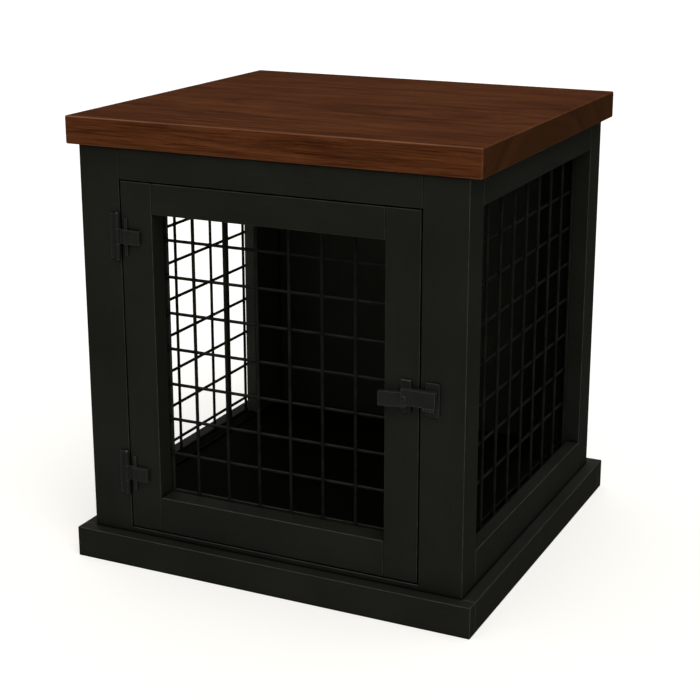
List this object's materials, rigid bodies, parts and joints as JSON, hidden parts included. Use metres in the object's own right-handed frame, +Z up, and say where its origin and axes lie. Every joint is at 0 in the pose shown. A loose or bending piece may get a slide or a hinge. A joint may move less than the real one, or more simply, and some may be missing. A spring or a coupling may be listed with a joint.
{
  "type": "wire dog crate",
  "caption": "Furniture-style dog crate: a wooden top on a painted cabinet frame, with welded wire mesh in its sides and in a hinged, latching door.",
  "frame": {"origin": "on the floor, under the middle of the crate's bounding box", "axes": "+Z up, -Y towards the door, +X to the right as one faces the door"},
  "size_m": [0.628, 0.603, 0.662],
  "materials": {
    "stained_wood": "reddish-brown walnut stain under satin lacquer",
    "black_paint": "satin black paint on wood",
    "wire": "satin black powder coat on steel wire",
    "black_hardware": "satin black coated steel",
    "zinc_steel": "bright zinc-plated steel screws"
  },
  "bodies": {
    "carcass": {"back_panel": "black_paint", "door_stop": "black_paint", "floor_panel": "black_paint", "front_bottom_rail": "black_paint", "front_left_corner_block": "black_paint", "front_left_post": "black_paint", "front_left_top_screw": "zinc_steel", "front_right_corner_block": "black_paint", "front_right_post": "black_paint", "front_right_top_screw": "zinc_steel", "front_top_rail": "black_paint", "latch_keeper": "black_hardware", "left_bottom_batten": "black_paint", "left_bottom_rail": "black_paint", "left_floor_bearer": "black_paint", "left_front_batten": "black_paint", "left_mesh": "wire", "left_rear_batten": "black_paint", "left_top_batten": "black_paint", "left_top_rail": "black_paint", "lower_hinge_pin": "black_hardware", "lower_hinge_post_leaf": "black_hardware", "plinth_front": "black_paint", "plinth_left": "black_paint", "plinth_rear": "black_paint", "plinth_right": "black_paint", "rear_bottom_rail": "black_paint", "rear_left_corner_block": "black_paint", "rear_left_post": "black_paint", "rear_left_top_screw": "zinc_steel", "rear_right_corner_block": "black_paint", "rear_right_post": "black_paint", "rear_right_top_screw": "zinc_steel", "rear_top_rail": "black_paint", "right_bottom_batten": "black_paint", "right_bottom_rail": "black_paint", "right_floor_bearer": "black_paint", "right_front_batten": "black_paint", "right_mesh": "wire", "right_rear_batten": "black_paint", "right_top_batten": "black_paint", "right_top_rail": "black_paint", "tabletop": "stained_wood", "upper_hinge_pin": "black_hardware", "upper_hinge_post_leaf": "black_hardware"},
    "door": {"door_bottom_bead": "black_paint", "door_bottom_rail": "black_paint", "door_hinge_bead": "black_paint", "door_hinge_stile": "black_paint", "door_latch_bead": "black_paint", "door_latch_stile": "black_paint", "door_mesh": "wire", "door_top_bead": "black_paint", "door_top_rail": "black_paint", "lower_hinge_door_leaf": "black_hardware", "upper_hinge_door_leaf": "black_hardware", "latch_plate": "black_hardware", "latch_pivot_pin": "black_hardware"},
    "latch_lever": {"latch_lever": "black_hardware"}
  },
  "joints": [
    {"name": "door_hinge", "type": "hinge", "parent": "carcass", "child": "door", "pos_m": [-0.2326, -0.2852, 0.3155], "axis": [0, 0, -1], "range_deg": [0, 165]},
    {"name": "latch_pivot", "type": "hinge", "parent": "door", "child": "latch_lever", "pos_m": [0.21, -0.29, 0.32334], "axis": [0, -1, 0], "range_deg": [0, 80]}
  ]
}
